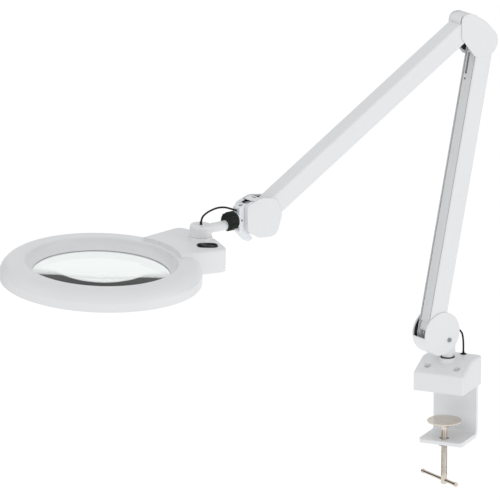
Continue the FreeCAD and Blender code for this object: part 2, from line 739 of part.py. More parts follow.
def make_elbow_cover():
    """Near elbow cover; a returned rim closes the joint at the back."""
    corners = [(V(q.x, shell_in, q.z), r) for q, r in elbow_outline()]
    plate = slab(corners, V(0, shell_plate, 0))
    plate = plate.makeFillet(0.8, [e for e in plate.Edges if e.BoundBox.YMin > shell_out - 0.01])
    rim_solid = slab([(V(q.x, 1.0, q.z), r) for q, r in elbow_outline()], V(0, shell_in - 1.0, 0))
    inner = Part.Wire(rounded_edges([(V(q.x, 1.0, q.z), r) for q, r in elbow_outline()]))
    room = Part.Face(inner.makeOffset2D(-shell_plate)).extrude(V(0, shell_in, 0))
    rim = rim_solid.cut(room)
    p = elbow_pivot
    keep = Part.makeBox(28, 40, 40, V(p.x - 22, -5, p.z + 9.5))
    keep.rotate(V(p.x - 22, 0, p.z + 9.5), Y_AXIS, -6)
    return plate.fuse(rim.common(keep))


def bored(cover, places):
    """The far one of a pair of covers, with its screw holes."""
    far = mirror_y(cover)
    for place in places:
        far = far.cut(across(place, screw_radius + slip_gap, -40, 0))
    return far


# ---------------------------------------------------------------- wrist
def wrist_posts():
    return [nod_pivot + V(-2.5, 0, 14.5), nod_pivot + V(-3.0, 0, -12.5)]


def make_wrist_link():
    tie = wrist_pivot + upper_tie
    chain = [wrist_posts()[1], wrist_posts()[0], tie, wrist_pivot]
    near = link_plate(chain, 4.6, lug_inner, lug_half)
    posts = [across(p, 3.0, -shell_in, shell_in) for p in wrist_posts()]
    body = fuse([near, mirror_y(near)] + posts)
    body = body.cut(across(wrist_pivot, bolt_radius + run_gap, -20, 20))
    body = body.cut(across(tie, tie_pin_radius, -20, 20))
    body = body.cut(across(nod_pivot, bolt_radius, -20, 20))
    for place in wrist_posts():
        body = body.cut(across(place, screw_radius, -20, 20))
    return body


def wrist_outline():
    w = wrist_pivot
    return [(w + V(27.5, 0, 18.5), 7), (w + V(6.0, 0, 25.5), 16), (w + V(-19.0, 0, 21.5), 12),
            (w + V(-27.0, 0, -1.0), 16), (w + V(-17.5, 0, -27.0), 12), (w + V(10.0, 0, -25.0), 14),
            (w + V(27.5, 0, -13.0), 8)]


def make_wrist_cover():
    corners = [(V(q.x, shell_in, q.z), r) for q, r in wrist_outline()]
    plate = slab(corners, V(0, shell_plate, 0))
    plate = plate.makeFillet(0.8, [e for e in plate.Edges if e.BoundBox.YMin > shell_out - 0.01])
    rim_solid = slab([(V(q.x, lug_half + 0.4, q.z), r) for q, r in wrist_outline()],
                     V(0, shell_in - lug_half - 0.4, 0))
    wire = Part.Wire(rounded_edges([(V(q.x, 0, q.z), r) for q, r in wrist_outline()]))
    room = Part.Face(wire.makeOffset2D(-shell_plate)).extrude(V(0, shell_in, 0))
    w = wrist_pivot
    keep = Part.makeBox(30, 40, 70, V(w.x + 17, -5, w.z - 35))
    return plate.fuse(rim_solid.cut(room).common(keep))


def make_head_bracket():
    """Flat-fronted nose that nods on the wrist and carries the roll joint."""
    outline = [(V(nose_front, 0, nose_top), 2), (V(nose_back - 6, 0, nose_top + 3), 1),
               (V(nose_back, 0, nod_pivot_z + 9.5), 1), (V(nose_back, 0, nose_knee + 2), 3),
               (nose_tail + V(-7, 0, 3.5), 2), (nose_tail, 1), (V(nose_front, 0, nose_knee), 3)]
    nose = slab([(p - V(0, lug_half, 0), r) for p, r in outline], V(0, 2 * lug_half, 0))
    tongue = link_plate([nod_pivot, V(nose_back - 2, 0, nod_pivot_z)], nod_eye_radius,
                        -tongue_half, tongue_half)
    body = nose.fuse(tongue)
    body = body.cut(across(nod_pivot, bolt_radius + run_gap, -20, 20))
    body = body.cut(rod(V(nose_back + 1.5, 0, roll_axis_z), X_AXIS, roll_pin_radius + run_gap, 20))
    cable_end = head_cable_route[-1]
    body = body.cut(rod(cable_end - V(7, 0, 0), X_AXIS, cable_radius + 0.3, 12))
    top_slot = rod(V(nose_back + 1.5, 0, nose_top - 4), Z_AXIS, 3.0, 20)
    body = body.cut(top_slot)
    return body.cut(rod(V(nose_front - 4, 0, roll_axis_z), Y_AXIS, 1.5, 20))


def make_grub_screw():
    return across(V(nose_front - 4, 0, roll_axis_z), 1.5, roll_pin_radius + 0.1, lug_half)


def make_friction_washer():
    washer = rod(V(nose_front, 0, roll_axis_z), X_AXIS, friction_washer_radius, friction_washer_plate)
    return washer.cut(rod(V(nose_front - 1, 0, roll_axis_z), X_AXIS, roll_pin_radius + run_gap, 9))


# ---------------------------------------------------------------- roll hub and stem
def hub_back():
    return nose_front + friction_washer_plate


def make_hub():
    """Black lobed grip of the roll joint; the stem is let into its face below its axis."""
    start = hub_back()
    lobes = []
    for i in range(hub_lobes):
        angle = math.radians(360 / hub_lobes * i + 90)
        lobes.append(rod(V(start + hub_flange_plate, 8.2 * math.cos(angle), 8.2 * math.sin(angle)),
                         X_AXIS, hub_radius - 8.2, hub_length))
    core = rod(V(start + hub_flange_plate, 0, 0), X_AXIS, 9.6, hub_length)
    flange = rod(V(start, 0, 0), X_AXIS, hub_flange_radius, hub_flange_plate)
    hub = fuse([core, flange] + lobes)
    front = start + hub_flange_plate + hub_length
    cone = Part.makeCone(hub_radius + 3.2, hub_radius - 2.8, 6, V(front - 6, 0, 0), X_AXIS)
    hub = hub.common(fuse([cone, rod(V(start - 1, 0, 0), X_AXIS, hub_radius + 1, front - start - 5)]))
    hub.translate(V(0, 0, roll_axis_z))
    hub = hub.cut(rod(V(front - stub_depth, 0, stub_z), X_AXIS, stub_radius, 20))
    return hub.cut(rod(V(start - 1, 0, roll_axis_z), X_AXIS, roll_pin_radius, 6))


def make_roll_pin():
    """Steel pin moulded into the hub; a grub screw rides in its groove."""
    start = nose_back + 1.8
    pin = rod(V(start, 0, roll_axis_z), X_AXIS, roll_pin_radius, hub_back() + 5 - start)
    groove = rod(V(nose_front - 5.6, 0, roll_axis_z), X_AXIS, 9, 3.2)
    groove = groove.cut(rod(V(nose_front - 6, 0, roll_axis_z), X_AXIS, roll_pin_radius - 0.6, 5))
    return pin.cut(groove)


def make_stem():
    """White swivel puck with its side tube; the cable leaves through the puck's top."""
    low = puck_bottom
    puck = rod(V(puck_x, 0, low + 0.5), Z_AXIS, puck_radius, puck_height - 0.5)
    puck = puck.makeFillet(2.2, [e for e in puck.Edges if e.BoundBox.ZMin > low + puck_height - 0.01])
    foot = rod(V(puck_x, 0, low), Z_AXIS, puck_radius - 0.8, 0.5)
    start = hub_back() + hub_flange_plate + hub_length - stub_depth
    tube = rod(V(start, 0, stub_z), X_AXIS, stub_radius, puck_x - start)
    body = fuse([puck, foot, tube])
    body = body.cut(rod(V(puck_x, 0, low - 1), Z_AXIS, swivel_tube_radius + run_gap, 8))
    body = body.cut(rod(V(start - 1, 0, stub_z), X_AXIS, stub_radius - 2.0, 22))
    end = head_cable_route[0]
    return body.cut(rod(V(end.x, end.y, low), Z_AXIS, cable_radius + 0.4, 20))


# ---------------------------------------------------------------- head
def ring_profile(inset):
    """Outline of the ring's section from its outer wall over the crest to the lens opening."""
    r = ring_radius - inset
    crest = ring_height - inset
    rim = rim_radius + inset
    opening = lens_opening if inset == 0 else lens_radius + 1.5 + head_wall
    shelf = lens_edge_low + lens_edge + (1.0 if inset == 0 else 0)
    wall_top = V(r, 0, ring_wall_height)
    crest_out = V(ring_crest_radius, 0, crest)
    crest_in = V(rim + 2.0, 0, crest - 0.1)
    rim_low = V(rim - 0.6, 0, crest - 2.0)
    bevel_low = V(opening, 0, shelf)
    bottom_in = V(opening, 0, 0)
    bottom_out = V(r, 0, 0)
    shoulder = V(ring_radius - 5.2 - inset * 0.8, 0, ring_height - 5.2 - inset * 0.7)
    bevel_mid = V(rim - 3.6, 0, (crest + shelf) / 2 - 1.8)
    lines = [Part.LineSegment(bottom_in, bottom_out), Part.LineSegment(bottom_out, wall_top),
             Part.Arc(wall_top, shoulder, crest_out), Part.LineSegment(crest_out, crest_in),
             Part.Arc(crest_in, V(rim + 0.2, 0, crest - 0.7), rim_low),
             Part.Arc(rim_low, bevel_mid, bevel_low), Part.LineSegment(bevel_low, bottom_in)]
    return [line.toShape() for line in lines]


def housing_outline(inset):
    """Rear box of the head in plan: widest at its rounded corners, with a bowed rear edge."""
    rear = housing_rear + inset
    corner_x = housing_corner_x + inset
    corner_y = housing_corner_y - inset
    join_y = housing_join_y - inset
    radius = housing_round - inset
    return [(V(housing_join_x, -join_y, 0), 0), (V(housing_join_x, join_y, 0), 0),
            (V(corner_x + 4, corner_y, 0), radius), (V(corner_x, corner_y - 12, 0), radius),
            (V(rear, 12, 0), 30), (V(rear, -12, 0), 30),
            (V(corner_x, -corner_y + 12, 0), radius), (V(corner_x + 4, -corner_y, 0), radius)]


def housing_box(inset):
    box = slab(housing_outline(inset), V(0, 0, housing_height - inset))
    if inset == 0:
        top = [e for e in box.Edges if e.BoundBox.ZMin > housing_height - 0.01
               and e.BoundBox.XMin < housing_join_x - 1]
        box = box.makeFillet(3.0, top)
    return box


def lens_bore(radius, height=60):
    return rod(lens_axis - V(0, 0, 10), Z_AXIS, radius, height)


def make_head_top():
    """Upper shell: ring, rear box and the raised seat of the swivel."""
    ring = ring_of(ring_profile(0))
    ring.translate(lens_axis)
    hollow = ring_of(ring_profile(head_wall))
    hollow.translate(lens_axis)
    saddle = rod(lens_axis, Z_AXIS, rim_radius + 5, 60)
    box = housing_box(0).cut(saddle)
    seat = Part.makeCone(puck_radius + 2.2, puck_radius + 0.4, seat_height - housing_height + 1,
                         V(0, 0, housing_height - 1), Z_AXIS)
    body = ring.fuse([box, seat])
    room = housing_box(head_wall).cut(rod(lens_axis, Z_AXIS, rim_radius + 5 + head_wall, 60))
    body = body.cut(hollow).cut(room)
    body = body.cut(rod(lens_axis - V(0, 0, 1), Z_AXIS, lens_radius + 1.5, lens_edge_low + lens_edge + 1.3))
    body = body.cut(rod(V(0, 0, 0), Z_AXIS, swivel_tube_radius + slip_gap, 60))
    return body.cut(switch_block(rocker_length + 1.2, rocker_width + 1.2, 60, 0))


def switch_block(length, width, height, low):
    box = Part.makeBox(length, width, height, V(-length / 2, -width / 2, low))
    box.rotate(V(0, 0, 0), Z_AXIS, switch_turn)
    box.translate(V(switch_x, switch_y, 0))
    return box


def make_rear_cover():
    """Flat floor of the rear box, up to the ring's wall."""
    floor = slab(housing_outline(head_wall + slip_gap), V(0, 0, head_wall))
    floor.translate(V(0, 0, diffuser_low))
    return floor.cut(lens_bore(diffuser_outer() + 0.3))


def diffuser_outer():
    return ring_radius - head_wall - 0.4


def diffuser_inner():
    return lens_radius + 1.5 + head_wall + 0.4


def ring_band(inner, outer, low, high):
    band = rod(V(0, 0, low), Z_AXIS, outer, high - low)
    return band.cut(rod(V(0, 0, low - 1), Z_AXIS, inner, high - low + 2))


def make_diffuser():
    return ring_band(diffuser_inner(), diffuser_outer(), diffuser_low, diffuser_low + diffuser_plate)


def make_lens():
    """Biconvex lens with a ground edge."""
    curve = (lens_radius ** 2 + lens_sag ** 2) / (2 * lens_sag)
    low = lens_edge_low
    high = low + lens_edge
    half_way = math.sqrt(curve ** 2 - (lens_radius * 0.5) ** 2)
    upper = V(lens_radius * 0.5, 0, high - curve + lens_sag + half_way)
    lower = V(lens_radius * 0.5, 0, low + high - upper.z)
    profile = [Part.LineSegment(V(lens_radius, 0, low), V(lens_radius, 0, high)).toShape(),
               Part.Arc(V(lens_radius, 0, high), upper, V(0, 0, high + lens_sag)).toShape(),
               Part.LineSegment(V(0, 0, high + lens_sag), V(0, 0, low - lens_sag)).toShape(),
               Part.Arc(V(0, 0, low - lens_sag), lower, V(lens_radius, 0, low)).toShape()]
    return ring_of(profile)


def make_lens_gasket():
    return ring_band(lens_radius, lens_radius + 1.5, lens_edge_low - 0.3, lens_edge_low + lens_edge)


def make_lens_retainer():
    outer = lens_radius + 1.5 - slip_gap
    return ring_band(lens_opening - 0.3, outer, lens_edge_low - 2.6, lens_edge_low - 0.3)


def make_ring_tube():
    """Circular fluorescent tube; its two ends meet in the socket at the rear."""
    section = Part.Wire([Part.makeCircle(tube_radius, V(tube_ring_radius, 0, tube_height), Y_AXIS)])
    arc = Part.Face(section).revolve(V(0, 0, 0), Z_AXIS, 346)
    arc.rotate(V(0, 0, 0), Z_AXIS, 187)
    return arc


def make_tube_socket():
    """Four-pin lamp holder that closes the gap between the tube's ends."""
    section = Part.makeBox(19, 1, 18, V(tube_ring_radius - 9.5, 0, tube_height - 9.0))
    face = [f for f in section.Faces if abs(f.normalAt(0, 0).y) > 0.9 and f.BoundBox.YMax < 0.01][0]
    block = face.revolve(V(0, 0, 0), Z_AXIS, 13.6)
    block.rotate(V(0, 0, 0), Z_AXIS, 180 - 6.8)
    return block


def make_tube_clips():
    """Spring clips that hang the tube from the shell."""
    high = ring_height - head_wall - 1.05
    clips = []
    for angle in (50, 130, 230, 310):
        outer = rod(V(tube_ring_radius, -4, tube_height), Y_AXIS, tube_radius + 1.0, 8)
        clip = outer.cut(rod(V(tube_ring_radius, -5, tube_height), Y_AXIS, tube_radius + slip_gap, 10))
        clip = clip.cut(Part.makeBox(30, 12, 10, V(tube_ring_radius - 15, -6, tube_height - 13)))
        foot = Part.makeBox(5, 8, high - tube_height - tube_radius - 0.6,
                            V(tube_ring_radius - 5, -4, tube_height + tube_radius + 0.6))
        clip = clip.fuse(foot)
        clip.rotate(V(0, 0, 0), Z_AXIS, angle)
        clips.append(clip)
    return Part.makeCompound(clips)


def make_ballast():
    """Electronic ballast on the floor of the rear box."""
    box = Part.makeBox(26, 38, 15, V(2, -41, diffuser_low + head_wall))
    return box.makeFillet(1.5, [e for e in box.Edges if e.BoundBox.ZMin > 5])


def make_swivel_tube():
    """Hollow threaded tube through the seat, with its flange in the puck and its nut inside."""
    high = seat_height + 6.5
    low = housing_height - head_wall - 7
    tube = rod(V(0, 0, low), Z_AXIS, swivel_tube_radius, high - low)
    tube = tube.cut(rod(V(0, 0, low - 1), Z_AXIS, swivel_tube_bore, high))
    nut = hexagon_nut(V(0, 0, housing_height - head_wall - 5), Z_AXIS, 9.5, 4.0)
    nut = nut.cut(rod(V(0, 0, 0), Z_AXIS, swivel_tube_radius, 60))
    washer = rod(V(0, 0, housing_height - head_wall - 1.0), Z_AXIS, 10.0, 1.0)
    return Part.makeCompound([tube, nut, washer.cut(rod(V(0, 0, 0), Z_AXIS, swivel_tube_radius, 60))])


def make_switch_body():
    """Switch frame that clips into the top, with its case below."""
    frame = switch_block(rocker_length + 3.6, rocker_width + 3.6, 1.0, housing_height)
    case = switch_block(rocker_length + 1.0, rocker_width + 1.0, 14, housing_height - 14)
    room = switch_block(rocker_length + 0.2, rocker_width - 1.0, 30, housing_height - 8)
    pin_hole = across(V(0, 0, 0), rocker_pin_radius + run_gap, -rocker_width / 2, rocker_width / 2)
    pin_hole.rotate(V(0, 0, 0), Z_AXIS, switch_turn)
    pin_hole.translate(V(switch_x, switch_y, housing_height - rocker_pivot_drop))
    return frame.fuse(case).cut(room).cut(pin_hole)


def make_rocker():
    """Rocker key with a hollow back, resting with one end down."""
    length = rocker_length - 1.6
    width = rocker_width - 1.6
    thickness = 5.0
    outline = [(V(-length / 2, 0, 0), 1), (V(length / 2, 0, 0), 1), (V(length / 2, 0, thickness - 0.4), 1),
               (V(0, 0, thickness - 2.0), 20), (V(-length / 2, 0, thickness - 0.4), 1)]
    key = slab([(p - V(0, width / 2, 0), r) for p, r in outline], V(0, width, 0))
    key = key.fuse(across(V(0, 0, 0), rocker_pin_radius, -width / 2 - 0.5, width / 2 + 0.5))
    key.rotate(V(0, 0, 0), Y_AXIS, -rocker_tilt)
    key.rotate(V(0, 0, 0), Z_AXIS, switch_turn)
    key.translate(V(switch_x, switch_y, housing_height - rocker_pivot_drop))
    return key


def make_head_screws():
    """Screws up through the floor's edge into the shell."""
    screws = []
    for angle in (45, 135, 225, 315):
        place = V(cover_screw_ring * math.cos(math.radians(angle)),
                  cover_screw_ring * math.sin(math.radians(angle)), 0)
        screws.append(rod(place + V(0, 0, -0.8), Z_AXIS, 2.6, diffuser_low + 0.8))
    return Part.makeCompound(screws)


# ---------------------------------------------------------------- the assembly
def arm_nodes(prefix, root, angle, tie):
    """Nodes of one arm; the tie vector is given in the arm frame at rest."""
    local_tie = FreeCAD.Rotation(Y_AXIS, angle).multVec(tie)
    bolts = []
    for end in (V(0, 0, 0), V(arm_length, 0, 0)):
        for piece in make_pivot_bolt().Solids + make_washers():
            moved = piece.copy()
            moved.translate(end)
            bolts.append(moved)
    parts = {
        prefix + "_channel": make_channel(),
        prefix + "_shell": make_arm_shell(),
        prefix + "_pivot_bolts": Part.makeCompound(bolts),
        prefix + "_tie_rod": make_tie_rod(local_tie, spring_level),
        prefix + "_spring": make_spring(spring_level),
        prefix + "_adjuster": make_adjuster(spring_level)}
    return {name: place_arm(shape, root, angle) for name, shape in parts.items()}


def build_nodes():
    nodes = {
        "base_block": make_base_block(), "block_screws": make_block_screws(),
        "clamp_bracket": make_clamp_bracket(), "jaw_nut": make_jaw_nut(),
        "clamp_screw": make_clamp_screw(), "tommy_bar": make_tommy_bar(), "clamp_pad": make_clamp_pad(),
        "swivel_bush": make_swivel_bush(), "inlet_gland": make_inlet_gland(),
        "base_grommet": make_grommet(grommet_place(), Z_AXIS, cable_radius + 0.2),
        "swivel_pin": make_swivel_pin(), "swivel_clip": make_swivel_clip()}
    nodes.update(arm_nodes("lower", shoulder_pivot, lower_angle, lower_tie))
    nodes.update(arm_nodes("upper", upper_root, -upper_drop, upper_tie))
    tie_low = [(shoulder_pivot + lower_tie, tie_pin_radius)]
    tie_elbow = [(elbow_pivot + lower_tie, tie_pin_radius), (upper_root + upper_tie, tie_pin_radius)]
    pins_wrist = [(wrist_pivot + upper_tie, tie_pin_radius), (nod_pivot, bolt_radius)]
    in_arm_frame = {
        "shoulder_bracket": make_shoulder_bracket(),
        "shoulder_cover_near": make_drum_cover(), "shoulder_cover_far": mirror_y(make_drum_cover()),
        "shoulder_fasteners": make_fasteners([drum_screw()], 2, tie_low),
        "elbow_knuckle": make_elbow_knuckle(),
        "elbow_cover_near": make_elbow_cover(),
        "elbow_cover_far": bored(make_elbow_cover(), elbow_posts()[:1]),
        "elbow_fasteners": make_fasteners(elbow_posts()[:1], 1, tie_elbow),
        "wrist_link": make_wrist_link(),
        "wrist_cover_near": make_wrist_cover(), "wrist_cover_far": bored(make_wrist_cover(), wrist_posts()),
        "wrist_fasteners": make_fasteners(wrist_posts(), 1, pins_wrist),
        "head_bracket": make_head_bracket(), "grub_screw": make_grub_screw(),
        "friction_washer": make_friction_washer(),
        "base_cable": cord_tube(base_cable_route, cable_radius, "base_cable")}
    nodes.update({name: at_arm(shape) for name, shape in in_arm_frame.items()})
    beyond_roll = {"hub": make_hub(), "roll_pin": make_roll_pin(), "stem": make_stem()}
    nodes.update({name: at_roll(shape) for name, shape in beyond_roll.items()})
    nodes["head_cable"] = at_arm(cord_tube(head_cable_route, cable_radius, "head_cable"))
    in_head = {"head_top": make_head_top(), "rear_cover": make_rear_cover(), "ballast": make_ballast(),
               "swivel_tube": make_swivel_tube(), "switch_body": make_switch_body(),
               "switch_rocker": make_rocker()}
    nodes.update({name: at_head(shape) for name, shape in in_head.items()})
    on_lens = {"diffuser": make_diffuser(), "lens": make_lens(), "lens_gasket": make_lens_gasket(),
               "lens_retainer": make_lens_retainer(),
               "ring_tube": make_ring_tube(), "tube_socket": make_tube_socket(),
               "tube_clips": make_tube_clips(), "head_screws": make_head_screws()}
    nodes.update({name: at_lens(shape) for name, shape in on_lens.items()})
    return nodes


def world_point(point):
    """Arm frame to row frame, for the joint positions."""
    return FreeCAD.Rotation(Z_AXIS, arm_turn).multVec(point)


def main():
    os.makedirs("parts", exist_ok=True)
    nodes = build_nodes()
    for name, shape in nodes.items():
        if not shape.isValid() or shape.Volume <= 0:
            print("check", name, "valid", shape.isValid(), "volume", round(shape.Volume, 1))
        shape.exportStep("parts/%s.step" % name)
    print(len(nodes), "nodes")
    for name, point in (("shoulder", shoulder_pivot), ("shoulder tie", shoulder_pivot + lower_tie),
                        ("elbow", elbow_pivot), ("upper root", upper_root),
                        ("upper tie", upper_root + upper_tie), ("wrist", wrist_pivot),
                        ("nod", nod_pivot), ("roll", V(nose_front, 0, roll_axis_z))):
        place = world_point(point)
        print("%-13s %9.4f %9.4f %9.4f" % (name, place.x, place.y, place.z))


main()
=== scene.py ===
# %% [markdown]
# # A magnifying lamp, finished in Blender
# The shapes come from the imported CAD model, which is loaded as a fixed frame in metres. This lesson gives
# every piece its finish, builds the parts that are better as meshes, and sets up the studio.

# %% Load the frame
import json
import math
import bpy
import bmesh
from mathutils import Matrix, Vector


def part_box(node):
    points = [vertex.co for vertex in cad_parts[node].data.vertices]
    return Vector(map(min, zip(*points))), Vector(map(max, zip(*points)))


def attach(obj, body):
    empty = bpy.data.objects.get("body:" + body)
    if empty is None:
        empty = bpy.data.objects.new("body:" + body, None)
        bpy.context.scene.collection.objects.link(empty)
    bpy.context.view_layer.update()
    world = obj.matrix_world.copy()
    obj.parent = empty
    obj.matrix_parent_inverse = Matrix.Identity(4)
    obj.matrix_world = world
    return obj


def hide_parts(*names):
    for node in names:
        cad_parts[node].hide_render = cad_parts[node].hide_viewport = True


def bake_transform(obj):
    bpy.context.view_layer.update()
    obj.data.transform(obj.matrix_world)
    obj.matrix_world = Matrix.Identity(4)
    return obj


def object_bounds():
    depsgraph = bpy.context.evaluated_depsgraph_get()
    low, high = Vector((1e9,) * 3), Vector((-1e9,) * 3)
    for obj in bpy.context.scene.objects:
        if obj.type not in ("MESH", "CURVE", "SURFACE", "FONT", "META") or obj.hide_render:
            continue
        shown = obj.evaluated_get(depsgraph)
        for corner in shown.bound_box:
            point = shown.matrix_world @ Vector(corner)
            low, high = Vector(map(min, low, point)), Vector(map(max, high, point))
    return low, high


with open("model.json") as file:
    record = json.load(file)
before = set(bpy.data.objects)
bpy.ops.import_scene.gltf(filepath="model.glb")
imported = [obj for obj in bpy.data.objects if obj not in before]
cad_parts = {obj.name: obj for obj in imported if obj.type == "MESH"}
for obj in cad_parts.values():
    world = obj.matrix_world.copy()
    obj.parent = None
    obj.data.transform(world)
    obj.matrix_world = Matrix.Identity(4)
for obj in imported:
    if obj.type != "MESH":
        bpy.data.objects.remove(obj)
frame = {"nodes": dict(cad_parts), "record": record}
cad_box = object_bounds()
nodes = frame["nodes"]

# %% [markdown]
# ## Camera
# The lamp is seen from far off with a long lens, from the right of its clamp and a little above, so its
# uprights stay almost parallel. The aim could come from a constraint that tracks an empty; two plain angles
# are simpler and never change.

# %% Camera
CAMERA_PLACE = Vector((3.5585, -8.5422, 2.7893))
CAMERA_YAW = 24.17
CAMERA_DIP = 15.75
LENS_MM = 546.7

camera_data = bpy.data.cameras.new("camera")
camera = bpy.data.objects.new("camera", camera_data)
bpy.context.scene.collection.objects.link(camera)
camera.location = CAMERA_PLACE
camera.rotation_euler = (math.radians(90 - CAMERA_DIP), 0, math.radians(CAMERA_YAW))
camera_data.sensor_width = 36
camera_data.lens = LENS_MM
camera_data.clip_end = 100
bpy.context.scene.camera = camera
print("camera looks along", [round(x, 3) for x in camera.rotation_euler.to_matrix() @ Vector((0, 0, -1))])

# %% [markdown]
# ## The two short cables
# Each thin black cable bridges one joint, so it has to bend as the joint turns. A NURBS curve gives its
# line; the tube is then built ring by ring along it, because a mesh can be blended between two bodies.
# The points are in the arm's own frame, in which x runs towards the head, and are turned into place.

# %% Cable routes
ARM_TURN = Matrix.Rotation(math.radians(241.35), 4, "Z")
CABLE_RADIUS = 0.0012
BASE_ROUTE = [(-4.0, 0, 74.0), (-17.0, 0.2, 73.6), (-23.4, 0.1, 67.6), (-25.6, -0.4, 59.0),
              (-26.6, -1.0, 51.0), (-27.0, -1.5, 44.0), (-27.0, -1.5, 35.5)]
HEAD_ROUTE = [(391.2, 0.5, 277.0), (391.2, 0.5, 286.0), (386.5, 0.6, 291.6), (377.5, 0.5, 295.0),
              (367.0, 0.3, 297.0), (356.0, 0.2, 296.2), (345.6, 0.0, 292.6), (336.5, 0.0, 288.6)]


def in_place(point_mm):
    """A point of the arm frame, in millimetres, as a point of the row frame in metres."""
    return ARM_TURN @ (Vector(point_mm) / 1000)


def smooth_line(name, route, resolution=12):
    """Points along the NURBS spline whose control points are the route, and its length."""
    curve = bpy.data.curves.new(name, "CURVE")
    curve.dimensions = "3D"
    curve.resolution_u = resolution
    spline = curve.splines.new("NURBS")
    spline.points.add(len(route) - 1)
    for point, place in zip(spline.points, route):
        point.co = (*in_place(place), 1)
    spline.order_u = 3
    spline.use_endpoint_u = True
    holder = bpy.data.objects.new(name, curve)
    bpy.context.scene.collection.objects.link(holder)
    bpy.context.view_layer.update()
    line = bpy.data.meshes.new_from_object(holder)
    points = [v.co.copy() for v in line.vertices]
    bpy.data.objects.remove(holder)
    bpy.data.meshes.remove(line)
    length = sum((b - a).length for a, b in zip(points, points[1:]))
    return points, length


# %% Tube builder
def mesh_object(name, bm, smooth=True):
    """Turns a bmesh into a linked object with clean outward normals."""
    bmesh.ops.remove_doubles(bm, verts=bm.verts, dist=1e-7)
    bmesh.ops.recalc_face_normals(bm, faces=bm.faces)
    mesh = bpy.data.meshes.new(name)
    bm.to_mesh(mesh)
    bm.free()
    for face in mesh.polygons:
        face.use_smooth = smooth
    piece = bpy.data.objects.new(name, mesh)
    bpy.context.scene.collection.objects.link(piece)
    return piece


def tube(name, points, radii, sides=16):
    """Closed tube along points; radii is one number or one per point."""
    if not isinstance(radii, (list, tuple)):
        radii = [radii] * len(points)
    bm = bmesh.new()
    rings = []
    side = None
    for i, place in enumerate(points):
        ahead = (points[min(i + 1, len(points) - 1)] - points[max(i - 1, 0)]).normalized()
        if side is None:
            side = ahead.orthogonal().normalized()
        side = (side - ahead * side.dot(ahead)).normalized()
        up = ahead.cross(side)
        ring = []
        for k in range(sides):
            angle = 2 * math.pi * k / sides
            ring.append(bm.verts.new(place + (side * math.cos(angle) + up * math.sin(angle)) * radii[i]))
        rings.append(ring)
    for a, b in zip(rings, rings[1:]):
        for k in range(sides):
            bm.faces.new((a[k], a[(k + 1) % sides], b[(k + 1) % sides], b[k]))
    bm.faces.new(rings[0])
    bm.faces.new(rings[-1])
    return mesh_object(name, bm)


# %% Make the cables
def make_cable(name, route, node):
    """Cable from its exit on one body to the next, along a smooth curve."""
    points, length = smooth_line(name, route)
    piece = tube(name, points, CABLE_RADIUS)
    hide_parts(node)
    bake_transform(piece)
    print(name, "is", round(length * 1000, 1), "mm long")
    return piece


base_cable = make_cable("base_cable_run", BASE_ROUTE, "base_cable")
head_cable = make_cable("head_cable_run", HEAD_ROUTE, "head_cable")

# %% [markdown]
# ## Reusable surface effects
# Painted and moulded parts are never perfectly even. Three small groups give that unevenness: a fine
# orange-peel height, a broad drift of tone and gloss, and dust that settles on what faces up. They put out
# only numbers and colours; each material keeps its own shader.

# %% Group tools
def new_group(name, inputs, outputs):
    """Shader node group with named sockets; inputs is {name: (socket kind, default)}."""
    group = bpy.data.node_groups.new(name, "ShaderNodeTree")
    for label, (kind, value) in inputs.items():
        socket = group.interface.new_socket(label, in_out="INPUT", socket_type=kind)
        socket.default_value = value
    for label, kind in outputs.items():
        group.interface.new_socket(label, in_out="OUTPUT", socket_type=kind)
    return group, group.nodes.new("NodeGroupInput"), group.nodes.new("NodeGroupOutput")


def noise_node(group, scale, detail=2.0, roughness=0.5):
    """Noise in the object's own metres."""
    place = group.nodes.new("ShaderNodeTexCoord")
    noise = group.nodes.new("ShaderNodeTexNoise")
    noise.inputs["Scale"].default_value = scale
    noise.inputs["Detail"].default_value = detail
    noise.inputs["Roughness"].default_value = roughness
    group.links.new(place.outputs["Object"], noise.inputs["Vector"])
    return noise


FLOAT = "NodeSocketFloat"
COLOUR = "NodeSocketColor"

# %% Fine height
peel, entry, leave = new_group("paint_peel", {"Scale": (FLOAT, 700.0)}, {"Height": FLOAT})
fine = noise_node(peel, 700.0, 3.0, 0.55)
peel.links.new(entry.outputs["Scale"], fine.inputs["Scale"])
peel.links.new(fine.outputs["Fac"], leave.inputs["Height"])
print("group", peel.name)

# %% Broad drift of tone and gloss
drift, entry, leave = new_group(
    "tone_drift",
    {"Clean": (COLOUR, (0.8, 0.8, 0.8, 1)), "Worn": (COLOUR, (0.7, 0.7, 0.7, 1)), "Scale": (FLOAT, 14.0),
     "Gloss low": (FLOAT, 0.3), "Gloss high": (FLOAT, 0.45)},
    {"Colour": COLOUR, "Roughness": FLOAT})
broad = noise_node(drift, 14.0, 5.0, 0.6)
drift.links.new(entry.outputs["Scale"], broad.inputs["Scale"])
blend_tone = drift.nodes.new("ShaderNodeMix")
blend_tone.data_type = "RGBA"
drift.links.new(broad.outputs["Fac"], blend_tone.inputs["Factor"])
drift.links.new(entry.outputs["Clean"], blend_tone.inputs["A"])
drift.links.new(entry.outputs["Worn"], blend_tone.inputs["B"])
gloss = drift.nodes.new("ShaderNodeMapRange")
drift.links.new(broad.outputs["Fac"], gloss.inputs["Value"])
gloss.inputs["From Min"].default_value = 0.3
gloss.inputs["From Max"].default_value = 0.7
drift.links.new(entry.outputs["Gloss low"], gloss.inputs["To Min"])
drift.links.new(entry.outputs["Gloss high"], gloss.inputs["To Max"])
drift.links.new(blend_tone.outputs["Result"], leave.inputs["Colour"])
drift.links.new(gloss.outputs["Result"], leave.inputs["Roughness"])
print("group", drift.name)

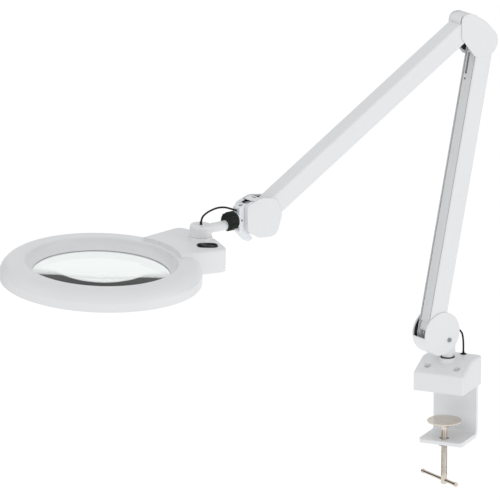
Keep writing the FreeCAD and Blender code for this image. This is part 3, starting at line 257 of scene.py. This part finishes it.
# %% Dust on what faces up
dust, entry, leave = new_group("settled_dust", {"Amount": (FLOAT, 0.2), "Scale": (FLOAT, 60.0)},
                               {"Mask": FLOAT})
facing = dust.nodes.new("ShaderNodeNewGeometry")
split = dust.nodes.new("ShaderNodeSeparateXYZ")
dust.links.new(facing.outputs["Normal"], split.inputs["Vector"])
upward = dust.nodes.new("ShaderNodeMapRange")
upward.inputs["From Min"].default_value = 0.55
upward.inputs["From Max"].default_value = 1.0
dust.links.new(split.outputs["Z"], upward.inputs["Value"])
speck = noise_node(dust, 60.0, 6.0, 0.7)
dust.links.new(entry.outputs["Scale"], speck.inputs["Scale"])
patch = dust.nodes.new("ShaderNodeMath")
patch.operation = "MULTIPLY"
dust.links.new(upward.outputs["Result"], patch.inputs[0])
dust.links.new(speck.outputs["Fac"], patch.inputs[1])
share = dust.nodes.new("ShaderNodeMath")
share.operation = "MULTIPLY"
dust.links.new(patch.outputs["Value"], share.inputs[0])
dust.links.new(entry.outputs["Amount"], share.inputs[1])
dust.links.new(share.outputs["Value"], leave.inputs["Mask"])
print("group", dust.name)

# %% [markdown]
# ## The finishes
# One recipe serves every opaque finish: drifted colour and gloss, a little dust, and a fine bump. What
# differs is the numbers, so each finish is one short call.

# %% Material recipe
def add_group(tree, group, **values):
    """Places a group in a material and sets its inputs; an underscore stands for a space in a label."""
    node = tree.nodes.new("ShaderNodeGroup")
    node.node_tree = group
    for label, value in values.items():
        node.inputs[label.replace("_", " ")].default_value = value
    return node


DUST_TONE = (0.62, 0.6, 0.57, 1)
BUMP_DEPTH = 0.0002


def surface(name, clean, worn, gloss_low, gloss_high, metallic=0.0, peel_scale=700.0, bump=0.12,
            drift_scale=14.0, dusty=0.12, coat=0.0, specular=0.5):
    """Opaque finish with drifting tone and gloss, settled dust and a fine bump."""
    material = bpy.data.materials.new(name)
    material.use_nodes = True
    tree = material.node_tree
    shader = tree.nodes["Principled BSDF"]
    tone = add_group(tree, drift, Clean=(*clean, 1), Worn=(*worn, 1), Scale=drift_scale,
                     Gloss_low=gloss_low, Gloss_high=gloss_high)
    settled = add_group(tree, dust, Amount=dusty)
    layer = tree.nodes.new("ShaderNodeMix")
    layer.data_type = "RGBA"
    layer.inputs["B"].default_value = DUST_TONE
    tree.links.new(settled.outputs["Mask"], layer.inputs["Factor"])
    tree.links.new(tone.outputs["Colour"], layer.inputs["A"])
    tree.links.new(layer.outputs["Result"], shader.inputs["Base Color"])
    tree.links.new(tone.outputs["Roughness"], shader.inputs["Roughness"])
    grain = add_group(tree, peel, Scale=peel_scale)
    raised = tree.nodes.new("ShaderNodeBump")
    raised.inputs["Strength"].default_value = bump
    raised.inputs["Distance"].default_value = BUMP_DEPTH
    tree.links.new(grain.outputs["Height"], raised.inputs["Height"])
    tree.links.new(raised.outputs["Normal"], shader.inputs["Normal"])
    shader.inputs["Metallic"].default_value = metallic
    shader.inputs["Coat Weight"].default_value = coat
    shader.inputs["Coat Roughness"].default_value = 0.25
    shader.inputs["Specular IOR Level"].default_value = specular
    return material


# %% Opaque finishes
finishes = {
    "white_paint": surface("white powder coat", (0.80, 0.81, 0.82), (0.76, 0.77, 0.785), 0.32, 0.42,
                           peel_scale=900, bump=0.16, coat=0.15),
    "white_plastic": surface("white moulding", (0.80, 0.805, 0.81), (0.765, 0.772, 0.78), 0.34, 0.46,
                             peel_scale=1500, bump=0.08),
    # The channel finish is a tone darker than the white coat: painted shade for the recessed channels.
    "channel_shade_paint": surface("channel coat with painted shade", (0.72, 0.725, 0.73), (0.66, 0.665, 0.67), 0.34, 0.46,
                             peel_scale=900, bump=0.16),
    "grey_paint": surface("grey casting paint", (0.84, 0.86, 0.89), (0.77, 0.79, 0.82), 0.38, 0.5,
                          peel_scale=600, bump=0.25),
    # The zinc's dark tone is partly random plating tone and partly painted shade for screws sunk in their
    # holes.
    "zinc": surface("zinc plate with painted shade", (0.42, 0.43, 0.45), (0.2, 0.2, 0.21), 0.28, 0.45, metallic=1.0,
                    peel_scale=1200, bump=0.15, drift_scale=60, dusty=0.05),
    "nickel": surface("nickel plate", (0.84, 0.79, 0.74), (0.52, 0.44, 0.34), 0.1, 0.24, metallic=1.0,
                      peel_scale=500, bump=0.12, drift_scale=70, dusty=0.03),
    "black_plastic": surface("black moulding", (0.010, 0.013, 0.011), (0.030, 0.037, 0.032), 0.16, 0.3,
                             peel_scale=1600, bump=0.2, dusty=0.0, drift_scale=160, specular=0.06),
    "black_rubber": surface("black sheath", (0.010, 0.010, 0.010), (0.02, 0.02, 0.02), 0.5, 0.65,
                            peel_scale=1800, bump=0.2, dusty=0.0, specular=0.12),
    "spring_steel": surface("oiled spring wire", (0.3, 0.3, 0.31), (0.16, 0.15, 0.14), 0.25, 0.4,
                            metallic=1.0, drift_scale=90),
    "opal": surface("opal diffuser", (0.86, 0.86, 0.85), (0.82, 0.82, 0.81), 0.4, 0.5, peel_scale=1100,
                    bump=0.3),
    "tube_glass": surface("phosphor tube", (0.88, 0.88, 0.87), (0.84, 0.84, 0.84), 0.12, 0.2, bump=0.02)}
print(len(finishes), "opaque finishes")

# %% [markdown]
# The lens is clear optical glass with the faint green of a thick piece. Transmission does the bending. Its
# index is set under that of real crown glass: light that is trapped inside a real lens leaks out through its
# edge, while here it would only leave the near side black. Smears drift its tint and its gloss.

# %% Lens glass
lens_glass = bpy.data.materials.new("lens glass")
lens_glass.use_nodes = True
lens_shader = lens_glass.node_tree.nodes["Principled BSDF"]
smears = add_group(lens_glass.node_tree, drift, Clean=(0.93, 0.965, 0.95, 1), Worn=(0.9, 0.95, 0.93, 1),
                   Scale=22.0, Gloss_low=0.004, Gloss_high=0.02)
lens_glass.node_tree.links.new(smears.outputs["Colour"], lens_shader.inputs["Base Color"])
lens_glass.node_tree.links.new(smears.outputs["Roughness"], lens_shader.inputs["Roughness"])
lens_shader.inputs["Transmission Weight"].default_value = 1.0
lens_shader.inputs["IOR"].default_value = 1.38
finishes["lens_glass"] = lens_glass
print("lens glass made")

# %% [markdown]
# Each CAD node takes the finish of its slot in the record. Three differ: both channels are a tone darker than
# the outer shells, as painted shade for their recess, and the swivel pin shows only as a white painted
# collar.

# %% Dress the CAD nodes
slots = {entry["node"]: entry["material_slot"] for entry in frame["record"]["subparts"]}
own_finish = {"lower_channel": "channel_shade_paint", "upper_channel": "channel_shade_paint",
              "swivel_pin": "white_paint"}
for name, node in nodes.items():
    node.data.materials.clear()
    node.data.materials.append(finishes[own_finish.get(name, slots[name])])
for piece in (base_cable, head_cable):
    piece.data.materials.append(finishes["black_rubber"])
print("dressed", len(nodes), "nodes")

# %% [markdown]
# ## The clamp screw's thread
# The real clamp screw is a plated M8 thread. A thread is a profile carried round a helix, so the mesh is
# a grid: one row of points for each step round the screw, with the crest and root swapping along it.

# %% Thread
SCREW_PITCH = 0.00125
SCREW_CREST = 0.004
SCREW_ROOT = 0.0034
ROWS_PER_TURN = 6
PLAIN_FOOT = 0.012
PLAIN_HEAD = 0.009
THREAD_FADE = 0.003
END_CHAMFER = 0.0008
screw_low, screw_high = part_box("clamp_screw")
screw_axis = Vector(((screw_low.x + screw_high.x) / 2, (screw_low.y + screw_high.y) / 2, 0))


def thread_radius(z, angle, low, high):
    """Radius of a V thread at a height and angle, fading to a plain end."""
    phase = (z / SCREW_PITCH - angle / (2 * math.pi)) % 1.0
    depth = abs(phase - 0.5) * 2
    ease = min(1.0, (z - low - PLAIN_FOOT) / THREAD_FADE, (high - PLAIN_HEAD - z) / THREAD_FADE)
    if ease <= 0:
        return SCREW_CREST
    return SCREW_CREST - (SCREW_CREST - SCREW_ROOT) * depth * ease


def threaded_rod(name, low, high, sides=32):
    """Rod between two heights with the thread cut in it and both ends chamfered."""
    bm = bmesh.new()
    rows = int((high - low) / SCREW_PITCH * ROWS_PER_TURN)
    rings = []
    for i in range(rows + 1):
        z = low + (high - low) * i / rows
        end = END_CHAMFER - min(z - low, high - z)
        ring = []
        for k in range(sides):
            angle = 2 * math.pi * k / sides
            radius = min(thread_radius(z, angle, low, high), SCREW_CREST - max(0.0, end))
            spoke = Vector((radius * math.cos(angle), radius * math.sin(angle), z))
            ring.append(bm.verts.new(screw_axis + spoke))
        rings.append(ring)
    for a, b in zip(rings, rings[1:]):
        for k in range(sides):
            bm.faces.new((a[k], a[(k + 1) % sides], b[(k + 1) % sides], b[k]))
    bm.faces.new(rings[0])
    bm.faces.new(rings[-1])
    return mesh_object(name, bm)


screw = threaded_rod("threaded_screw", screw_low.z, screw_high.z)
screw.data.materials.append(finishes["nickel"])
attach(screw, "clamp_screw")
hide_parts("clamp_screw")
print("thread has", len(screw.data.vertices), "points")

# %% [markdown]
# ## The rocker switch
# The switch is a glossy black key with a dished top in an oval black bezel, pressed down at one end. Its
# outline is a superellipse, a curve between an ellipse and a rectangle, so both pieces are rings of points
# on that curve, stacked and joined. The hinge and the head's swivel give the three directions to build on.

# %% Switch directions
joints = {joint["name"]: joint for joint in frame["record"]["behaviour"]["joints"]}
switch_centre = Vector(joints["switch_rock"]["pos_m"])
switch_up = Vector(joints["head_turn"]["axis"]).normalized()
switch_across = Vector(joints["switch_rock"]["axis"]).normalized()
switch_along = switch_across.cross(switch_up).normalized()
KEY_TILT = math.radians(8)
KEY_HALF_LENGTH = 10.3
KEY_HALF_WIDTH = 5.7
KEY_DISH = 1.5
print("switch at", [round(x, 4) for x in switch_centre])


def oval(half_length, half_width, power=3.2, count=48):
    """Plan points of a superellipse."""
    points = []
    for i in range(count):
        angle = 2 * math.pi * i / count
        cos, sin = math.cos(angle), math.sin(angle)
        points.append((math.copysign(abs(cos) ** (2 / power), cos) * half_length,
                       math.copysign(abs(sin) ** (2 / power), sin) * half_width))
    return points


def switch_point(x, y, z, tilt=0.0):
    """Point of the switch's own frame, millimetres, tilted about the hinge."""
    x, z = x * math.cos(tilt) + z * math.sin(tilt), z * math.cos(tilt) - x * math.sin(tilt)
    return switch_centre + (switch_along * x + switch_across * y + switch_up * z) / 1000


def stacked(name, rings, closed=False):
    """Skin over rings of points; closed joins the last ring to the first, otherwise both ends are capped."""
    bm = bmesh.new()
    rows = [[bm.verts.new(point) for point in ring] for ring in rings]
    count = len(rows[0])
    pairs = list(zip(rows, rows[1:] + rows[:1])) if closed else list(zip(rows, rows[1:]))
    for low, high in pairs:
        for k in range(count):
            bm.faces.new((low[k], low[(k + 1) % count], high[(k + 1) % count], high[k]))
    if not closed:
        bm.faces.new(rows[0])
        bm.faces.new(rows[-1])
    return mesh_object(name, bm)


# %% Bezel
HOUSING_TOP = 1.6
bezel_steps = [(12.9, 8.2, HOUSING_TOP), (12.9, 8.2, 2.3), (12.3, 7.6, 2.8), (11.4, 6.7, 2.7),
               (10.9, 6.2, 2.2), (10.9, 6.2, -4.0), (11.0, 6.5, -4.0), (11.0, 6.5, HOUSING_TOP)]
bezel_rings = [[switch_point(x, y, z) for x, y in oval(long, wide)] for long, wide, z in bezel_steps]
bezel = stacked("switch_bezel", bezel_rings, closed=True)
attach(bezel, "head")
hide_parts("switch_body")
bezel.data.materials.append(finishes["black_plastic"])

# %% Key
key_rings = []
for shrink, rise in ((0.0, -3.4), (0.0, 2.4), (0.25, 3.0), (0.8, 3.4), (2.4, 3.5), (4.2, 3.5)):
    ring = []
    for x, y in oval(KEY_HALF_LENGTH - shrink, KEY_HALF_WIDTH - shrink):
        dish = KEY_DISH * (1 - (x / KEY_HALF_LENGTH) ** 2) if rise > 0 else 0.0
        ring.append(switch_point(x, y, rise - dish, KEY_TILT))
    key_rings.append(ring)
key = stacked("switch_key", key_rings)
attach(key, "rocker")
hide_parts("switch_rocker")
key.data.materials.append(finishes["black_plastic"])
print("switch has", len(bezel.data.vertices) + len(key.data.vertices), "points")

# %% [markdown]
# ## Hoods
# A folded plate closes the top of the wrist and of the elbow between their covers; the wrist's has a slit.
# The elbow's is in two parts, because the arm rises through its front: a lip goes with the arm and passes
# just over the fixed hood. Each is a row of cross-bars joined into a strip and given thickness. Places are
# in the arm frame, from the pivot of the joint that the plate belongs to.

# %% Hoods
WRIST = (301.2, 276.7)
ELBOW = (-50.2, 447.8)
SHOULDER = (28.2, 76.0)
WRIST_LINE = [(15.2, 21.7), (14.0, 22.1), (11.0, 23.1), (8.6, 23.8), (6.6, 24.2), (4.4, 24.4)]
ELBOW_LINE = [(24.0, 38.0), (18.0, 36.2), (10.6, 30.2), (4.0, 27.2)]
LIP_LINE = [(43.1, 28.2), (42.4, 31.6), (41.2, 35.0), (40.0, 36.8), (38.2, 37.7), (33.0, 38.4),
            (25.4, 38.9)]
HOOD_BARS = (-11.9, -8.0, -4.0, 4.0, 8.0, 11.9)
LIP_BARS = (-11.6, -8.0, 0.0, 8.0, 11.6)
THIN_PLATE = 0.0006
SLIT_BAR = 2


def folded_plate(name, centre, line, body, finish, bars=HOOD_BARS, slit=None, thick=0.0011):
    """Strip of plate that crosses the arm along a line of (x, z) steps; slit is the step left open."""
    bm = bmesh.new()
    rows = [[bm.verts.new(in_place((centre[0] + x, y, centre[1] + z))) for y in bars] for x, z in line]
    for i in range(len(rows) - 1):
        for k in range(len(bars) - 1):
            if i == slit and k == SLIT_BAR:
                continue
            bm.faces.new((rows[i][k], rows[i][k + 1], rows[i + 1][k + 1], rows[i + 1][k]))
    plate = mesh_object(name, bm)
    thickness = plate.modifiers.new("thickness", "SOLIDIFY")
    thickness.thickness = thick
    thickness.offset = 0.0
    plate.data.materials.append(finishes[finish])
    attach(plate, body)
    print(name, "has", len(plate.data.polygons), "faces")
    return plate


folded_plate("wrist_hood", WRIST, WRIST_LINE, "wrist", "white_paint", slit=3)
folded_plate("elbow_hood", ELBOW, ELBOW_LINE, "elbow", "white_paint", thick=THIN_PLATE)
folded_plate("arm_lip", ELBOW, LIP_LINE, "upper_arm", "white_paint", bars=LIP_BARS, thick=THIN_PLATE)

# %% [markdown]
# The lower arm's channel runs on a little way into the shoulder drum, as a tongue on the channel's closed
# side. It lies in the arm's own direction, so its line is worked out from the arm's lean.

# %% Channel tongue
LOWER_LEAN = math.radians(11.9)
along_arm = Vector((-math.sin(LOWER_LEAN), math.cos(LOWER_LEAN)))
to_front = Vector((math.cos(LOWER_LEAN), math.sin(LOWER_LEAN)))
TONGUE_OFFSET = 10.8
TONGUE_BARS = (-8.5, -6.0, 0.0, 6.0, 8.5)
tongue_line = [tuple(along_arm * step + to_front * (TONGUE_OFFSET - dip))
               for step, dip in ((14.4, 0), (11.0, 0), (7.0, 0), (4.2, 0.2), (2.6, 1.2))]
folded_plate("channel_tongue", SHOULDER, tongue_line, "lower_arm", "channel_shade_paint",
             bars=TONGUE_BARS, thick=0.0014)

# %% [markdown]
# Behind the mechanism a thin black sheet lies against the inside of each far cover. It is painted shade that
# makes the gaps of the joints look dark. Its outline is a polygon whose corners are cut twice, the quick way
# to a smooth closed shape.

# %% Painted shade sheets
SHADE_SHEET_FROM = -12.08
SHADE_SHEET_TO = -11.9
DRUM_SETBACK = 9.2
DRUM_SHEET_RADIUS = 26.0
DRUM_SHEET_CORNERS = 24
elbow_sheet = [(39.5, 36.0), (39.0, 10.0), (17.5, -16.0), (-8.5, -16.5), (-19.0, 1.5), (3.0, 25.0),
               (24.5, 38.0)]
wrist_sheet = [(25.5, 17.0), (6.0, 23.5), (-17.5, 19.5), (-25.0, -1.0), (-16.0, -25.0), (9.5, -23.0),
               (25.5, -12.0)]
drum_sheet = []
for corner in range(DRUM_SHEET_CORNERS):
    angle = 2 * math.pi * corner / DRUM_SHEET_CORNERS
    drum_sheet.append((DRUM_SHEET_RADIUS * math.cos(angle) - DRUM_SETBACK,
                       DRUM_SHEET_RADIUS * math.sin(angle)))


def corners_cut(points, times=2):
    """Closed polygon with each corner replaced by two points, a few times over."""
    for _ in range(times):
        softer = []
        for (ax, az), (bx, bz) in zip(points, points[1:] + points[:1]):
            softer += [(ax * 0.8 + bx * 0.2, az * 0.8 + bz * 0.2), (ax * 0.2 + bx * 0.8, az * 0.2 + bz * 0.8)]
        points = softer
    return points


def shade_sheet(name, centre, outline, body):
    """Thin black sheet against the inside of a far cover, painted shade for the gap in front of it."""
    rings = [[in_place((centre[0] + x, y, centre[1] + z)) for x, z in corners_cut(outline)]
             for y in (SHADE_SHEET_FROM, SHADE_SHEET_TO)]
    sheet = stacked(name, rings)
    sheet.data.materials.append(finishes["black_plastic"])
    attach(sheet, body)
    return sheet


# Each black sheet is painted shade that darkens the gaps of a joint.
shade_sheet("elbow_shade_sheet", ELBOW, elbow_sheet, "elbow")
shade_sheet("wrist_shade_sheet", WRIST, wrist_sheet, "wrist")
shade_sheet("drum_shade_sheet", SHOULDER, drum_sheet, "swivel")
print("three painted shade sheets")

# %% [markdown]
# Each cable leaves its housing through a short ribbed rubber sleeve, a tube whose radius steps down. A flat
# black disc built the same way on top of the nose is painted shade for the dark inside of its cable hole.

# %% Sleeves
RIB_DEPTH = 0.18


def sleeve(name, place, direction, body, length=6.0, wide=2.2, narrow=1.35):
    """Tapered rubber sleeve where a cable leaves a housing, or a flat black disc of painted shade;
    millimetres in the arm frame.
    """
    start = in_place(place)
    ahead = (ARM_TURN @ Vector(direction)).normalized()
    shares = [0, 0.12, 0.14, 0.3, 0.32, 0.5, 0.52, 0.7, 0.72, 1.0]
    radii = [(wide + (narrow - wide) * share - (RIB_DEPTH if i % 4 in (1, 2) else 0.0)) / 1000
             for i, share in enumerate(shares)]
    piece = tube(name, [start + ahead * (s * length / 1000) for s in shares], radii)
    piece.data.materials.append(finishes["black_rubber"])
    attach(piece, body)
    return piece


sleeve("puck_sleeve", (391.2, 0.5, 279.2), (0, 0, 1), "roll_hub", length=5.0, wide=2.0)
sleeve("block_sleeve", (-27.0, -1.5, 38.0), (0, 0, 1), "base", length=4.0)
# A flat black disc on the nose top: painted shade for the inside of the cable hole.
sleeve("nose_hole_shade", (329.5, 0.0, 292.2), (0, 0, 1), "nose", length=0.9, wide=2.9, narrow=2.6)
print("sleeves made")

# %% [markdown]
# ## Studio
# A white object on a white ground only reads if its faces get different amounts of light. The surround is
# brightest at the horizon and dimmer overhead, so that tops are a little greyer than sides. Two large soft
# lights, the stronger low on the right, lift the faces that look their way. The floor mostly glows, so that
# it stays pale and takes only a faint shadow.

# %% Floor
FLOOR_DROP = 0.25
FLOOR_REACH = 14.0
FLOOR_GLOW = 0.93
FLOOR_TONE = 0.12
floor_height = cad_box[0][2] - FLOOR_DROP
floor_mesh = bpy.data.meshes.new("floor")
floor_mesh.from_pydata([(x * FLOOR_REACH, y * FLOOR_REACH, floor_height)
                        for x, y in ((-1, -1), (1, -1), (1, 1), (-1, 1))], [], [(0, 1, 2, 3)])
floor = bpy.data.objects.new("floor", floor_mesh)
bpy.context.scene.collection.objects.link(floor)
floor_paint = bpy.data.materials.new("pale floor")
floor_paint.use_nodes = True
floor_shader = floor_paint.node_tree.nodes["Principled BSDF"]
floor_shader.inputs["Base Color"].default_value = (FLOOR_TONE, FLOOR_TONE, FLOOR_TONE, 1)
floor_shader.inputs["Roughness"].default_value = 1.0
floor_shader.inputs["Specular IOR Level"].default_value = 0.0
floor_shader.inputs["Emission Color"].default_value = (1, 1, 1, 1)
floor_shader.inputs["Emission Strength"].default_value = FLOOR_GLOW
floor_mesh.materials.append(floor_paint)
print("floor at", round(floor_height, 3))

# %% [markdown]
# Plated metal only looks like metal if it has something dark to mirror. A black card stands off to each
# side, where only glossy reflections can find it, so it draws a dark edge down the screw and its bar.

# %% Black cards
CARD_DISTANCE = 1.6
CARD_HALF_HEIGHT = 1.0
card_black = bpy.data.materials.new("card black")
card_black.use_nodes = True
card_shader = card_black.node_tree.nodes["Principled BSDF"]
card_shader.inputs["Base Color"].default_value = (0.01, 0.01, 0.01, 1)
card_shader.inputs["Roughness"].default_value = 1.0


def black_card(name, bearing, half_width):
    """Upright card at a bearing round the clamp, degrees from +X, seen only in glossy reflections."""
    outward = Vector((math.cos(math.radians(bearing)), math.sin(math.radians(bearing)), 0))
    sideways = Vector((-outward.y, outward.x, 0))
    centre = outward * CARD_DISTANCE
    corners = [centre + sideways * (x * half_width) + Vector((0, 0, z * CARD_HALF_HEIGHT))
               for x, z in ((-1, -1), (1, -1), (1, 1), (-1, 1))]
    mesh = bpy.data.meshes.new(name)
    mesh.from_pydata(corners, [], [(0, 1, 2, 3)])
    card = bpy.data.objects.new(name, mesh)
    bpy.context.scene.collection.objects.link(card)
    mesh.materials.append(card_black)
    card.visible_camera = False
    card.visible_diffuse = False
    card.visible_transmission = False
    card.visible_shadow = False
    return card


black_card("left_card", 190, 1.2)
black_card("right_card", 50, 0.6)
print("two cards stand", CARD_DISTANCE, "m off")

# %% Surround
HORIZON_LIGHT = 0.86
ZENITH_LIGHT = 0.75
world = bpy.data.worlds.new("surround")
bpy.context.scene.world = world
world.use_nodes = True
sky = world.node_tree
direction = sky.nodes.new("ShaderNodeTexCoord")
height = sky.nodes.new("ShaderNodeSeparateXYZ")
fall = sky.nodes.new("ShaderNodeMapRange")
fall.inputs["To Min"].default_value = HORIZON_LIGHT
fall.inputs["To Max"].default_value = ZENITH_LIGHT
sky.links.new(direction.outputs["Generated"], height.inputs["Vector"])
sky.links.new(height.outputs["Z"], fall.inputs["Value"])
sky.links.new(fall.outputs["Result"], sky.nodes["Background"].inputs["Strength"])
sky.nodes["Background"].inputs["Color"].default_value = (0.985, 0.992, 1, 1)
print("surround from", HORIZON_LIGHT, "down to", ZENITH_LIGHT)


# %% Lights
LIGHT_AIM = Vector((-0.1, -0.15, 0.25))
LIGHT_SIZE = 1.4


def soft_light(name, place, watts):
    """Square area light that looks at the middle of the lamp."""
    data = bpy.data.lights.new(name, "AREA")
    data.size = LIGHT_SIZE
    data.energy = watts
    light = bpy.data.objects.new(name, data)
    bpy.context.scene.collection.objects.link(light)
    light.location = place
    light.rotation_euler = (LIGHT_AIM - Vector(place)).to_track_quat("-Z", "Y").to_euler()
    return light


soft_light("right_light", (2.6, -0.6, 0.9), 8)
soft_light("left_light", (-2.2, -1.8, 1.9), 6)
bpy.context.scene.view_settings.view_transform = "Standard"
print("two soft lights and a surround")
